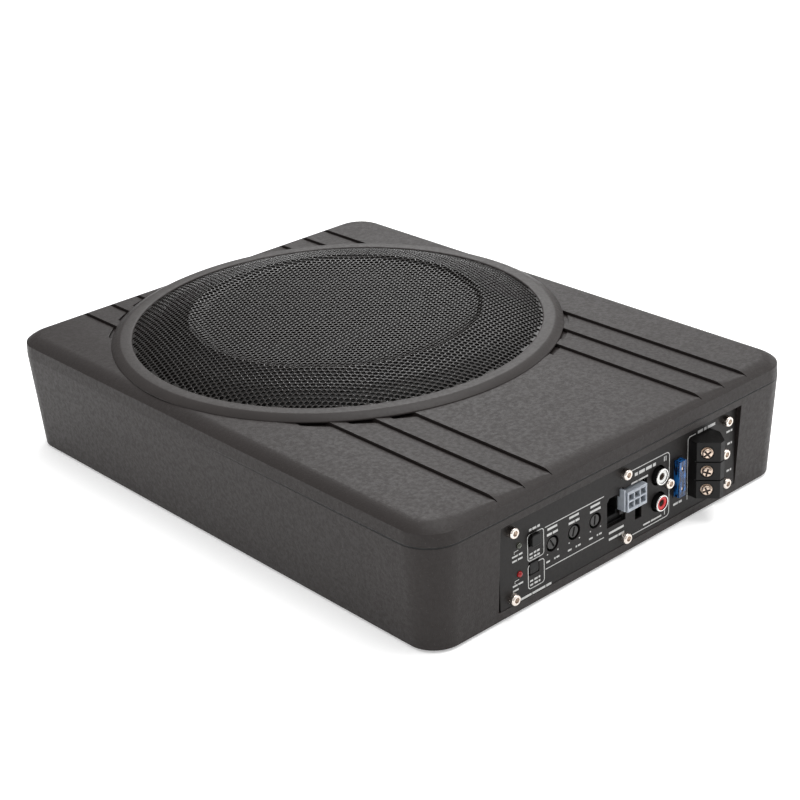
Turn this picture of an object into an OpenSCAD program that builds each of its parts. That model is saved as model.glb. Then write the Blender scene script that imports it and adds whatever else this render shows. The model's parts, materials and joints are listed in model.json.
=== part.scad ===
// Powered under-seat subwoofer: a shallow cast enclosure holding a slim woofer under a domed
// grille, a built-in amplifier, and a control panel set into its front end.
// Millimetres, +Z up. The origin is on the floor under the middle of the enclosure.
// The control panel faces -Y and the woofer sits towards +Y.

/* [Body] */
// Width of the enclosure across its long sides
body_w = 250; // [248:1:256]
// Length of the enclosure from the panel end to the far end
body_l = 327; // [326:1:334]
// Height of the enclosure without its feet
shell_h = 63; // [63:0.5:66]
// Radius of the enclosure's upright corners
corner_r = 18; // [14:1:24]
// How far each side leans in from its widest line down to the bottom edge
draft_in = 3.4; // [2:0.1:4]
// Height of the widest line above the enclosure's bottom edge
band_h = 53; // [52:1:54]
// Width of the rounded slope round the top edge
bevel_w = 9; // [7:0.5:10]
// Drop of the rounded slope round the top edge
bevel_drop = 3.4; // [2.5:0.1:4]
// Thickness of the enclosure's walls and deck
wall = 3.5; // [3:0.1:4]
// How far the rubber feet stand out below the enclosure
foot_h = 1.5; // [1:0.1:2]

/* [Louvres] */
// Distance from one step in the top surface to the next
louvre_pitch = 17.2; // [14:0.1:18]
// Height of each step
louvre_depth = 1.3; // [0.6:0.1:1.6]
// X position of the first step of the left group
louvre_left_x = -81.2; // [-84:0.1:-78]
// X position of the first step of the right group
louvre_right_x = 57.2; // [54:0.1:60]

/* [Woofer and grille] */
// How far the woofer's axis lies from the middle of the enclosure, towards +Y
woofer_y = 39.5; // [36:0.5:40]
// Outer radius of the trim ring
ring_r = 120; // [118:0.5:121]
// Height of the trim ring above the deck
ring_h = 2.6; // [2.4:0.1:3]
// Inner radius of the trim ring
ring_in_r = 109; // [108.5:0.1:109.5]
// Height of the grille's flat level above the deck
dome_h = 7.2; // [7:0.1:9]
// Height of the bead pressed into the grille
bead_h = 2.7; // [1:0.1:3]
// Travel of the cone each way from rest
cone_travel = 4.5; // [3:0.5:5]

/* [Control panel] */
// Width of the panel's recess
panel_w = 167; // [166:1:170]
// Height of the panel's recess
panel_h = 44.2; // [44:0.1:45]
// X position of the middle of the panel
panel_x = 1.5; // [1:0.1:2]
// Travel of the latching push buttons
button_travel = 2; // [1:0.1:2]
// Radius of the slotted knobs
knob_r = 2.9; // [2.5:0.1:3.2]
// Distance between the two phono sockets
rca_pitch = 14.2; // [13.5:0.1:14.4]
// How far the fuse stands out of the panel
fuse_out = 3.5; // [2:0.5:5]
// Distance between the power terminals
terminal_pitch = 9.9; // [9:0.1:10]
// Angle of the terminals' face to the panel
terminal_slant = 48; // [46:1:50]

/* [Hidden] */
$fn = 64;
eps = 0.02;
corner_fn = 48;
bevel_steps = 6;
crease_in = 0.4;
deck_z = foot_h + shell_h;
base_t = 2;
base_top = foot_h + base_t;

// The slit at the foot of each step, and the pockets beside the trim ring
slit_w = 0.5;
slit_depth = 0.7;
pocket_w = 2.4;
pocket_l = 11;
pocket_depth = 2.1;

// Woofer levels and radii
seat_r = 113.5;
seat_z = deck_z - 5;
well_wall = 3;
hole_r = 104;
gasket_t = 1;
flange_t = 1.2;
flange_z = seat_z + gasket_t;
flange_top = flange_z + flange_t;
basket_r = 101;
yoke_z = 9;
magnet_z = yoke_z + 5;
plate_z = magnet_z + 14;
plate_top = plate_z + 5;
coil_r = 19.2;
spider_z = plate_top + 7.5;
woofer_screw_ring_r = 107.2;

// Panel levels and the places of what is on it, as [x, z]
panel_y = -body_l / 2 + draft_in * (1 - 4.5 / band_h) + 0.2;
panel_t = 1.5;
panel_back = panel_y + panel_t;
panel_z = foot_h + 4.6 + panel_h / 2;
ledge_back = panel_back + 3.7;
panel_gap = 0.4;
panel_left_gap = 1.4;
window_x = [-71, 71];
window_z = [13, 40.5];
panel_screw_at = [[-73, 10], [-73, 44.2], [2.2, 10], [2.2, 43.8], [32.7, 27.2],
                  [75, 26.8], [76.5, 10], [76.5, 44.2]];
led_x = -68.1;
led_z = [35.2, 20.5];
button_x = -58.9;
button_z = [34.9, 20.1];
button_w = 5.8;
pot_x = -46.6;
pot_pitch = 14.35;
pot_z = 27.1;
rca_x = 26.7;
rca_z = [19.1, 19.1 + rca_pitch];
header_x = [2, 15.8];
header_z = [23.8, 34.4];
header_out = 2.4;
jack_x = [-9.8, 3.1];
jack_z = [19.3, 34.6];
fuse_x = 40.5;
fuse_z = 27.1;
fuse_w = 5.1;
fuse_l = 19.1;
board_z = base_top + 5.5;
board_t = 1.6;
board_top = board_z + board_t;
front_board_y = -147;

// Terminal block: its corner on the panel, the heights of its two parts, the middles of its cells,
// its outline seen from above, and what is cut away in front of a groove between cells
block_x = 49;
block_z = [13.6, 43.7];
block_back_z = [15.4, 40.2];
cell_z = [18.5, 18.5 + terminal_pitch, 18.5 + 2 * terminal_pitch];
face_run = 7.6;
face_y = -4.9;
ridge_y = face_y - face_run * tan(terminal_slant);
block_outline = [[0, 0], [0, face_y], [face_run, ridge_y], [face_run + 3.2, ridge_y + 0.3],
                 [16.8, -5.4], [16.8, 0]];
groove_outline = [[-1, face_y + 2.3], [face_run + 0.2, ridge_y + 1], [face_run + 2.9, ridge_y + 1.1],
                  [face_run + 4, ridge_y - 1], [-1, ridge_y - 1]];
clamp_at = [block_x + 3.3, panel_y + face_y - 3.3 * tan(terminal_slant)];
clamp_r = 2.9;
clamp_t = 0.8;
clamp_sink = 1;

foot_at = [[-95, -135], [95, -135], [-95, 138], [95, 138], [0, 0]];
post_at = [[-112, 151], [112, 151], [-112, -55], [112, -55], [-112, -145], [112, -145],
           [-45, 151], [45, 151]];
standoff_at = [[-70, -128], [66, -128], [-70, -96], [66, -96]];

// ---- Shared shapes ----

// A box given by its lowest and highest corners
module box(low, high) {
    translate(low) cube(high - low);
}

// A round bar along +Y from y0 to y1
module bar_y(x, z, y0, y1, r) {
    translate([x, y0, z]) rotate([-90, 0, 0]) cylinder(r = r, h = y1 - y0);
}

// A ring about Z between two radii
module ring_z(r_out, r_in, z0, z1) {
    translate([0, 0, z0])
    difference() {
        cylinder(r = r_out, h = z1 - z0, $fn = 128);
        translate([0, 0, -1]) cylinder(r = r_in, h = z1 - z0 + 2, $fn = 128);
    }
}

// Puts a shape on the woofer's axis
module at_woofer() {
    translate([0, woofer_y, 0]) children();
}

// A flat rounded rectangle centred on the origin
module rounded_rect(w, l, r) {
    square([w - 2 * r, l], center = true);
    square([w, l - 2 * r], center = true);
    for (sx = [-1, 1], sy = [-1, 1])
        translate([sx * (w / 2 - r), sy * (l / 2 - r)]) circle(r = r);
}

// Four upright corner posts of a rounded rectangle, to be joined by hull()
module corner_set(inset, z) {
    r = max(corner_r - inset, 6);
    dx = body_w / 2 - inset - r;
    dy = body_l / 2 - inset - r;
    for (sx = [-1, 1], sy = [-1, 1])
        translate([sx * dx, sy * dy, z]) cylinder(r = r, h = eps, $fn = corner_fn);
}

// A quarter bend of round wire about X, from pointing along local +Z to pointing along local +Y
module wire_bend(bend, r) {
    rotate([0, 90, 0])
    rotate_extrude(angle = 90)
        translate([bend, 0]) circle(r = r);
}

// Puts a shape on a power terminal's slanted face: local X runs along the slope, local Z points out
module on_terminal(i) {
    translate([clamp_at[0], clamp_at[1], cell_z[i]])
    rotate([0, 0, -terminal_slant]) rotate([90, 0, 0]) children();
}

// ---- Enclosure ----

// The enclosure's outer form: sides that lean in downwards, and a rounded slope round the top
module outer_form() {
    translate([0, 0, foot_h])
    hull() {
        corner_set(draft_in, 0);
        corner_set(0, band_h);
        for (k = [0 : bevel_steps]) {
            t = k / bevel_steps;
            corner_set(crease_in + (bevel_w - crease_in) * t,
                       shell_h - bevel_drop * pow(1 - t, 2) - eps);
        }
    }
}

// The hollow inside the enclosure, open at the bottom
module inner_form() {
    translate([0, 0, foot_h])
    hull() {
        corner_set(draft_in + wall, -1);
        corner_set(wall, band_h);
        corner_set(wall + crease_in, shell_h - wall - eps);
    }
}

// One step in the deck: the surface sinks towards +X, then rises again at the step
module louvre_cut(x) {
    rotate([90, 0, 0])
    linear_extrude(height = body_l - 1, center = true)
    polygon([[x - louvre_pitch, deck_z], [x - slit_w, deck_z - louvre_depth],
             [x - slit_w, deck_z - louvre_depth - slit_depth], [x, deck_z - louvre_depth - slit_depth],
             [x, deck_z + 1], [x - louvre_pitch, deck_z + 1]]);
}

// A pocket beside the ring, where the sunk surface meets it
module ring_pocket(x) {
    intersection() {
        at_woofer() ring_z(ring_r + pocket_w, seat_r + 1, deck_z - pocket_depth, deck_z);
        box([x - pocket_l, -body_l / 2, deck_z - pocket_depth], [x, body_l / 2, deck_z]);
    }
}

module enclosure() {
    color([0.20, 0.20, 0.20])
    difference() {
        union() {
            difference() {
                outer_form();
                inner_form();
            }
            at_woofer() ring_z(seat_r + well_wall, hole_r, seat_z - well_wall, deck_z - wall);
            intersection() {
                outer_form();
                box([panel_x - panel_w / 2 - 4, -body_l / 2, base_top],
                    [panel_x + panel_w / 2 + 4, ledge_back, deck_z - wall]);
            }
            for (p = post_at)
                translate([p[0], p[1], base_top]) cylinder(r = 4.5, h = deck_z - wall - base_top);
        }
        at_woofer() translate([0, 0, seat_z]) cylinder(r = seat_r, h = 20, $fn = 128);
        at_woofer() translate([0, 0, seat_z - 10]) cylinder(r = hole_r, h = 20, $fn = 128);
        for (i = [0 : 2]) {
            louvre_cut(louvre_left_x + i * louvre_pitch);
            louvre_cut(louvre_right_x + i * louvre_pitch);
            ring_pocket(louvre_left_x + i * louvre_pitch);
            ring_pocket(louvre_right_x + i * louvre_pitch);
        }
        box([panel_x - panel_w / 2, -body_l, panel_z - panel_h / 2],
            [panel_x + panel_w / 2, panel_back, panel_z + panel_h / 2]);
        box([window_x[0], panel_back - 1, window_z[0]], [window_x[1], ledge_back + 1, window_z[1]]);
        for (p = panel_screw_at)
            bar_y(p[0], p[1], panel_back - 1, ledge_back + 1, 1.6);
        for (p = post_at)
            translate([p[0], p[1], 0]) cylinder(r = 1.65, h = 16);
        at_woofer() woofer_screw_set() cylinder(r = 1.75, h = 30, center = true);
    }
}

module base_plate() {
    play = draft_in + wall + 0.5;
    color([0.13, 0.13, 0.14])
    difference() {
        translate([0, 0, foot_h])
        linear_extrude(height = base_t)
            rounded_rect(body_w - 2 * play, body_l - 2 * play, corner_r - 6);
        for (p = post_at)
            translate([p[0], p[1], foot_h - 1]) {
                cylinder(r = 1.9, h = 10);
                translate([0, 0, 0.99]) cylinder(r1 = 3.5, r2 = 1.9, h = 1.5);
            }
        for (p = standoff_at)
            translate([p[0], p[1], 0]) cylinder(r = 1.6, h = 10);
    }
}

module base_screws() {
    color([0.10, 0.10, 0.10])
    for (p = post_at)
        translate([p[0], p[1], foot_h])
        difference() {
            union() {
                cylinder(r1 = 3.35, r2 = 1.6, h = 1.5);
                cylinder(r = 1.6, h = 12);
            }
            for (a = [0, 90])
                rotate(a) translate([-1.8, -0.35, -0.5]) cube([3.6, 0.7, 1.4]);
        }
}

module rubber_feet() {
    color([0.06, 0.06, 0.06])
    for (p = foot_at)
        translate([p[0], p[1], 0])
        rotate_extrude() polygon([[0, 0], [8, 0], [9, 0.6], [9, foot_h], [0, foot_h]]);
}

// ---- Grille ----

module grille_ring() {
    color([0.17, 0.17, 0.17])
    at_woofer()
    rotate_extrude($fn = 180)
    polygon([[ring_r, deck_z], [ring_r, deck_z + 0.35], [ring_r - 4.3, deck_z + ring_h - 0.15],
             [ring_r - 4.9, deck_z + ring_h], [ring_in_r + 0.3, deck_z + ring_h],
             [ring_in_r, deck_z + ring_h - 0.2], [ring_in_r, deck_z + ring_h - 0.6],
             [ring_in_r + 2.2, deck_z + ring_h - 0.6], [ring_in_r + 2.2, deck_z - 2],
             [seat_r - 0.5, deck_z - 2], [seat_r - 0.5, deck_z]]);
}

// The grille's section as [radius, height above the deck], from its rim to its middle
grille_line = [[ring_in_r + 1.9, ring_h - 0.6], [ring_in_r - 0.4, ring_h - 0.6],
               [94, dome_h - 0.4], [92, dome_h], [86, dome_h], [80, dome_h + bead_h - 0.3],
               [78.4, dome_h + bead_h], [76.8, dome_h + bead_h - 0.3], [71.5, dome_h],
               [0, dome_h]];
grille_t = 0.8;

module grille_mesh() {
    last = len(grille_line) - 1;
    color([0.12, 0.12, 0.12])
    at_woofer() translate([0, 0, deck_z])
    rotate_extrude($fn = 128)
    polygon(concat(grille_line,
                   [for (i = [last : -1 : 0]) grille_line[i] - [0, grille_t]]));
}

// ---- Woofer ----

// The eight places of the woofer's screws, on its flange
module woofer_screw_set() {
    for (a = [22.5 : 45 : 359])
        rotate(a) translate([woofer_screw_ring_r, 0, flange_top]) children();
}

module woofer_gasket() {
    color([0.05, 0.05, 0.05])
    at_woofer()
    difference() {
        ring_z(seat_r - 1, hole_r + 0.5, seat_z, flange_z);
        woofer_screw_set() cylinder(r = 2, h = 20, center = true);
    }
}

module woofer_basket() {
    spoke = [[40, plate_top], [46, plate_top], [60, spider_z - 1.5], [67, spider_z - 1.5],
             [99.6, 50], [100.5, 50], [100.5, 52], [98.5, 52], [66, spider_z], [59, spider_z],
             [45, plate_top + 1.5], [40, plate_top + 1.5]];
    color([0.08, 0.08, 0.08])
    at_woofer()
    difference() {
        union() {
            ring_z(seat_r - 1, basket_r - 1.5, flange_z, flange_top);
            ring_z(basket_r, basket_r - 1.4, 49, flange_top);
            ring_z(67, 58, spider_z - 1.5, spider_z);
            ring_z(46, 24, plate_top, plate_top + 1.5);
            for (a = [0 : 60 : 300])
                rotate(a + 30) rotate([90, 0, 0])
                linear_extrude(height = 15, center = true) polygon(spoke);
        }
        woofer_screw_set() cylinder(r = 2, h = 20, center = true);
    }
}

module woofer_screws() {
    color([0.12, 0.12, 0.12])
    at_woofer()
    woofer_screw_set()
    difference() {
        union() {
            cylinder(r1 = 3.2, r2 = 2.4, h = 2);
            translate([0, 0, -9]) cylinder(r = 1.7, h = 9.5);
        }
        for (a = [0, 90])
            rotate(a) translate([-1.7, -0.35, 1]) cube([3.4, 0.7, 2]);
    }
}

module surround() {
    roll_r = 94.8;
    lip_z = flange_top;
    color([0.04, 0.04, 0.04])
    at_woofer()
    rotate_extrude($fn = 128)
    union() {
        translate([roll_r + 5.8, lip_z]) square([3.1, 0.8]);
        translate([84.5, lip_z]) square([4.5, 0.8]);
        intersection() {
            translate([roll_r, lip_z + 0.2])
            difference() {
                circle(r = 6.6);
                circle(r = 5.8);
            }
            translate([roll_r - 10, lip_z]) square([20, 10]);
        }
    }
}

module cone() {
    color([0.09, 0.09, 0.10])
    at_woofer()
    rotate_extrude($fn = 128)
    polygon([[88.6, flange_top], [84.2, flange_top], [coil_r, 48.2], [coil_r, 46.9],
             [84.4, flange_top - 1.2], [88.6, flange_top - 1.2]]);
}

module dust_cap() {
    cap_r = 27;
    cap_h = 7;
    cap_z = 49.9;
    ball = (cap_r * cap_r + cap_h * cap_h) / (2 * cap_h);
    color([0.07, 0.07, 0.07])
    at_woofer()
    intersection() {
        translate([0, 0, cap_z + cap_h - ball])
        difference() {
            sphere(r = ball, $fn = 96);
            sphere(r = ball - 0.8, $fn = 96);
        }
        translate([0, 0, cap_z]) cylinder(r = cap_r + 1, h = cap_h + 1);
    }
}

module spider() {
    waves = 5;
    rim_r = 58;
    step_r = (rim_r - coil_r) / (4 * waves);
    line = concat([for (k = [0 : 4 * waves]) [coil_r + k * step_r, spider_z + 1.2 * sin(90 * k)]],
                  [[65.5, spider_z]]);
    last = len(line) - 1;
    color([0.72, 0.55, 0.25])
    at_woofer()
    rotate_extrude($fn = 96)
    polygon(concat(line, [for (i = [last : -1 : 0]) line[i] + [0, 0.8]]));
}

module voice_coil() {
    color([0.72, 0.42, 0.18])
    at_woofer() {
        ring_z(coil_r, coil_r - 0.35, 22, 52);
        ring_z(coil_r + 0.7, coil_r - 0.05, 24, 37);
    }
}

module top_plate() {
    color([0.55, 0.56, 0.58])
    at_woofer() ring_z(42, 20.6, plate_z, plate_top);
}

module magnet() {
    color([0.18, 0.18, 0.19])
    at_woofer() ring_z(48, 26, magnet_z, plate_z);
}

module pole_yoke() {
    color([0.55, 0.56, 0.58])
    at_woofer()
    difference() {
        union() {
            translate([0, 0, yoke_z]) cylinder(r = 42, h = magnet_z - yoke_z, $fn = 96);
            translate([0, 0, yoke_z]) cylinder(r = 18.2, h = plate_top - yoke_z, $fn = 96);
        }
        translate([0, 0, yoke_z - 1]) cylinder(r = 5, h = 40);
    }
}

module woofer_terminals() {
    tab_y = woofer_y - basket_r;
    color([0.45, 0.30, 0.15])
    difference() {
        box([-11, tab_y - 2, 50], [11, tab_y + 0.7, 58]);
        at_woofer() cylinder(r = basket_r, h = 80, $fn = 128);
    }
    color([0.80, 0.70, 0.40])
    for (x = [-6, 6])
        box([x - 2.4, tab_y - 2.8, 44], [x + 2.4, tab_y - 2, 56]);
}

// One lead: down from the woofer's terminal, over the heat sink, and down to the amplifier board
module speaker_lead(x, tab_y) {
    r = 1.1;
    bend = 4;
    run_z = 30;
    board_y = -98;
    translate([x, tab_y, run_z + bend]) cylinder(r = r, h = 46 - run_z - bend);
    translate([x, tab_y - bend, run_z + bend]) wire_bend(bend, r);
    bar_y(x, run_z, board_y + bend, tab_y - bend, r);
    translate([x, board_y + bend, run_z - bend]) rotate([180, 0, 0]) wire_bend(bend, r);
    translate([x, board_y, board_top]) cylinder(r = r, h = run_z - bend - board_top);
}

module speaker_wires() {
    color([0.60, 0.08, 0.08]) speaker_lead(-6, woofer_y - basket_r - 4);
    color([0.05, 0.05, 0.05]) speaker_lead(6, woofer_y - basket_r - 4);
}

// ---- Amplifier ----

module amp_board() {
    color([0.05, 0.28, 0.14])
    difference() {
        box([-78, -153.8, board_z], [74, -90, board_top]);
        for (p = standoff_at)
            translate([p[0], p[1], 0]) cylinder(r = 1.6, h = 30);
    }
}

module board_standoffs() {
    color([0.75, 0.62, 0.30])
    for (p = standoff_at)
        translate([p[0], p[1], base_top])
        difference() {
            cylinder(r = 3, h = board_z - base_top, $fn = 6);
            translate([0, 0, -1]) cylinder(r = 1.55, h = 10);
        }
}

module board_screws() {
    color([0.70, 0.70, 0.72])
    for (p = standoff_at)
        translate([p[0], p[1], board_top])
        difference() {
            union() {
                cylinder(r1 = 2.8, r2 = 2.2, h = 1.8);
                translate([0, 0, -6]) cylinder(r = 1.5, h = 6.5);
            }
            for (a = [0, 90])
                rotate(a) translate([-1.5, -0.3, 1]) cube([3, 0.6, 2]);
        }
}

module front_board() {
    color([0.05, 0.28, 0.14])
    difference() {
        box([-72, front_board_y, board_top], [18, front_board_y + board_t, 40]);
        for (x = [-50, -10])
            bar_y(x, 37.5, front_board_y - 1, front_board_y + 3, 1.5);
    }
}

module heat_sink() {
    color([0.72, 0.73, 0.75])
    difference() {
        union() {
            box([-72, -86, base_top], [66, -82, 26]);
            box([-72, -82, base_top], [66, -72, base_top + 3]);
        }
        for (i = [0 : 5])
            bar_y(-60 + i * 22, 22, -90, -80, 1.6);
    }
}

module power_transistors() {
    for (i = [0 : 5]) {
        x = -60 + i * 22;
        color([0.08, 0.08, 0.08]) box([x - 5, -90.6, 12], [x + 5, -87.3, 19]);
        color([0.70, 0.70, 0.72])
        difference() {
            box([x - 5, -87.3, 12], [x + 5, -86, 25]);
            bar_y(x, 22, -90, -80, 1.7);
        }
        color([0.70, 0.70, 0.72])
        for (k = [-2.54, 0, 2.54])
            box([x + k - 0.4, -90.4, board_top], [x + k + 0.4, -89.8, 12]);
    }
}

module filter_capacitors() {
    color([0.10, 0.12, 0.30])
    for (x = [-52, -32], y = [-124, -106])
        translate([x, y, board_top])
        difference() {
            cylinder(r = 8, h = 28);
            translate([0, 0, 1.5]) difference() {
                cylinder(r = 9, h = 1);
                translate([0, 0, -1]) cylinder(r = 7.4, h = 3);
            }
        }
}

module toroid_core() {
    color([0.75, 0.70, 0.15])
    translate([34, -116, 0]) ring_z(14, 8, board_top + 1.2, board_top + 12);
}

module toroid_winding() {
    turns = 20;
    color([0.70, 0.38, 0.15])
    translate([34, -116, board_top + 0.2])
    for (i = [0 : turns - 1])
        rotate(i * 360 / turns)
        difference() {
            translate([7, -0.5, 0]) cube([8, 1, 12.8]);
            translate([7.9, -1, 0.9]) cube([6.2, 2, 11]);
        }
}

module driver_chips() {
    color([0.07, 0.07, 0.07])
    for (p = [[-12, -128], [6, -128], [-12, -114], [6, -114]])
        box([p[0] - 5, p[1] - 3, board_top], [p[0] + 5, p[1] + 3, board_top + 2]);
}

// ---- Control panel ----

module control_panel() {
    z0 = panel_z - panel_h / 2;
    z1 = panel_z + panel_h / 2 - panel_gap;
    front = panel_y - 1;
    back = panel_back + 1;
    color([0.22, 0.21, 0.21])
    difference() {
        box([panel_x - panel_w / 2 + panel_left_gap, panel_y, z0],
            [panel_x + panel_w / 2 - panel_gap, panel_back, z1]);
        for (p = panel_screw_at)
            bar_y(p[0], p[1], front, back, 1.6);
        for (z = led_z)
            bar_y(led_x, z, front, back, 1.6);
        for (z = button_z)
            box([button_x - 3.4, front, z - 3.4], [button_x + 3.4, back, z + 3.4]);
        for (i = [0 : 2])
            bar_y(pot_x + i * pot_pitch, pot_z, front, back, 4);
        for (z = rca_z)
            bar_y(rca_x, z, front, back, 5.2);
        box([header_x[0] - 0.3, front, header_z[0] - 0.3], [header_x[1] + 2.6, back, header_z[1] + 1.4]);
        box([header_x[0] - 3.1, front, header_z[0] + 1.1], [header_x[0] - 0.2, back, header_z[1] + 2.5]);
        box([9.9, front, 16], [14.5, back, header_z[0]]);
        translate([0, back, 0]) rotate([90, 0, 0])
            linear_extrude(height = back - front)
            polygon([[jack_x[0], jack_z[0]], [jack_x[1], jack_z[0]], [jack_x[1], 23.2], [-1, 23.2],
                     [-1, jack_z[1] - 2], [-2.6, jack_z[1]], [jack_x[0] + 1.6, jack_z[1]],
                     [jack_x[0], jack_z[1] - 2]]);
        box([fuse_x - 3.4, front, fuse_z - 10.5], [fuse_x + 3.4, back, fuse_z + 10.5]);
        box([block_x + 0.9, front, block_back_z[0] - 0.3],
            [block_x + 15.9, back, block_back_z[1] + 0.3]);
    }
}

// Eight hexagon socket cap screws
module panel_screws() {
    color([0.80, 0.80, 0.80])
    for (p = panel_screw_at)
        difference() {
            union() {
                bar_y(p[0], p[1], panel_y - 3, panel_y, 2.75);
                bar_y(p[0], p[1], panel_y - 0.5, panel_y + 5, 1.5);
            }
            translate([p[0], panel_y - 3.5, p[1]]) rotate([-90, 0, 0])
                cylinder(r = 1.45, h = 2.1, $fn = 6);
        }
}

// ---- Power terminals ----

module terminal_block() {
    color([0.06, 0.06, 0.06])
    difference() {
        union() {
            translate([block_x, panel_y, block_z[0]])
                linear_extrude(height = block_z[1] - block_z[0]) polygon(block_outline);
            box([block_x + 1.2, panel_y - 1, block_back_z[0]],
                [block_x + 15.6, panel_y + 9, block_back_z[1]]);
        }
        for (z = cell_z) {
            if (z < cell_z[2])
                translate([block_x, panel_y, z + terminal_pitch / 2 - 0.3])
                    linear_extrude(height = 0.6) polygon(groove_outline);
        }
        for (i = [0 : 2])
            on_terminal(i) {
                translate([0, 0, -7.5]) cylinder(r = 1.55, h = 8);
                translate([0, 0, -clamp_sink]) cylinder(r = clamp_r + 0.4, h = 4);
            }
    }
}

module terminal_clamp(i) {
    color([0.75, 0.74, 0.70])
    on_terminal(i)
    translate([0, 0, -clamp_sink])
    difference() {
        cylinder(r = clamp_r, h = clamp_t);
        translate([0, 0, -1]) cylinder(r = 1.6, h = 3);
    }
}

module terminal_screw(i) {
    color([0.82, 0.80, 0.76])
    on_terminal(i)
    translate([0, 0, clamp_t - clamp_sink])
    rotate(20 - 35 * i)
    difference() {
        union() {
            translate([0, 0, -6]) cylinder(r = 1.5, h = 6.5);
            cylinder(r = 2.55, h = 1.2);
            translate([0, 0, 1.2]) cylinder(r1 = 2.55, r2 = 1.9, h = 0.6);
        }
        for (a = [0, 90])
            rotate(a) translate([-2, -0.45, 0.7]) cube([4, 0.9, 2]);
    }
}

module terminal_clamp_1() { terminal_clamp(0); }
module terminal_clamp_2() { terminal_clamp(1); }
module terminal_clamp_3() { terminal_clamp(2); }
module terminal_screw_1() { terminal_screw(0); }
module terminal_screw_2() { terminal_screw(1); }
module terminal_screw_3() { terminal_screw(2); }

// ---- Fuse ----

fuse_front = panel_y - fuse_out;
fuse_back = fuse_front + 11;

module fuse_holder() {
    color([0.05, 0.05, 0.05])
    difference() {
        box([fuse_x - 3.3, panel_y - 0.3, fuse_z - 10.4],
            [fuse_x + 3.3, fuse_back + 8.2, fuse_z + 10.4]);
        box([fuse_x - fuse_w / 2 - 0.15, panel_y - 1, fuse_z - fuse_l / 2 - 0.15],
            [fuse_x + fuse_w / 2 + 0.15, fuse_back + 0.3, fuse_z + fuse_l / 2 + 0.15]);
        for (s = [-1, 1])
            box([fuse_x - 0.5, fuse_back, fuse_z + s * 5.6 - 2.8],
                [fuse_x + 0.5, fuse_back + 7.4, fuse_z + s * 5.6 + 2.8]);
    }
}

// The fuse's plastic body, with two test windows in its front
module fuse_body() {
    color([0.05, 0.20, 0.60])
    difference() {
        union() {
            box([fuse_x - fuse_w / 2, fuse_front, fuse_z - fuse_l / 2],
                [fuse_x + fuse_w / 2, fuse_front + 4, fuse_z + fuse_l / 2]);
            box([fuse_x - fuse_w / 2 + 0.6, fuse_front, fuse_z - fuse_l / 2 + 1],
                [fuse_x + fuse_w / 2 - 0.6, fuse_back, fuse_z + fuse_l / 2 - 1]);
        }
        for (s = [-1, 1]) {
            box([fuse_x - 0.9, fuse_front - 1, fuse_z + s * 5.4 - 1],
                [fuse_x + 0.9, fuse_front + 1.5, fuse_z + s * 5.4 + 1]);
            box([fuse_x - 0.33, fuse_back - 6, fuse_z + s * 5.6 - 2.6],
                [fuse_x + 0.33, fuse_back + 1, fuse_z + s * 5.6 + 2.6]);
        }
    }
}

module fuse_blades() {
    color([0.75, 0.75, 0.72])
    for (s = [-1, 1])
        box([fuse_x - 0.33, fuse_back - 6, fuse_z + s * 5.6 - 2.6],
            [fuse_x + 0.33, fuse_back + 7, fuse_z + s * 5.6 + 2.6]);
}

// ---- Phono sockets ----

rca_face = panel_y + 7;
rca_tip = panel_y - 2.8;

module rca_housing() {
    color([0.04, 0.04, 0.04])
    difference() {
        union() {
            box([rca_x - 5.5, rca_face, board_top], [rca_x + 5.5, rca_face + 12, rca_z[1] + 6.4]);
            box([rca_x + 5, panel_back, 23.5], [rca_x + 9.4, rca_face + 4, 31]);
        }
        bar_y(32.7, 27.2, panel_back - 1, rca_face + 3.9, 1.55);
        for (z = rca_z)
            bar_y(rca_x, z, rca_face - 1, rca_face + 11, 1.9);
    }
}

module rca_shells() {
    color([0.82, 0.82, 0.80])
    for (z = rca_z)
        difference() {
            union() {
                bar_y(rca_x, z, rca_tip + 0.3, rca_face, 4.15);
                bar_y(rca_x, z, rca_tip, rca_tip + 0.4, 4.0);
                bar_y(rca_x, z, rca_face - 0.6, rca_face, 5);
            }
            bar_y(rca_x, z, rca_tip - 1, rca_face + 1, 3.55);
        }
}

module rca_insulator(z) {
    difference() {
        bar_y(rca_x, z, rca_tip + 0.5, rca_face, 3.55);
        bar_y(rca_x, z, rca_tip - 1, rca_face + 1, 1.9);
    }
}

module rca_insulator_upper() { color([0.92, 0.92, 0.90]) rca_insulator(rca_z[1]); }
module rca_insulator_lower() { color([0.75, 0.03, 0.05]) rca_insulator(rca_z[0]); }

module rca_contacts() {
    color([0.80, 0.75, 0.55])
    for (z = rca_z)
        difference() {
            bar_y(rca_x, z, rca_tip + 1, rca_face + 10, 1.9);
            bar_y(rca_x, z, rca_tip, rca_face + 5, 1.6);
        }
}

// ---- Speaker-level input and remote socket ----

module header_housing() {
    cell = 4.2;
    mid_x = (header_x[0] + header_x[1]) / 2;
    mid_z = (header_z[0] + header_z[1]) / 2;
    front = panel_y - header_out;
    color([0.80, 0.81, 0.84])
    difference() {
        union() {
            box([header_x[0], front, header_z[0]], [header_x[1], front_board_y, header_z[1]]);
            box([header_x[0] - 2.4, front, header_z[0] + 1.4],
                [header_x[0] - 1.6, panel_back + 3, header_z[1] + 2.2]);
            box([header_x[0] - 2.4, panel_back + 1, header_z[0] + 1.4],
                [header_x[0] + 1, panel_back + 3, header_z[1]]);
        }
        for (i = [-1 : 1], k = [-0.5, 0.5])
            box([mid_x + i * cell - 1.7, front - 1, mid_z + k * cell - 1.7],
                [mid_x + i * cell + 1.7, front_board_y - 2, mid_z + k * cell + 1.7]);
    }
}

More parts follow.
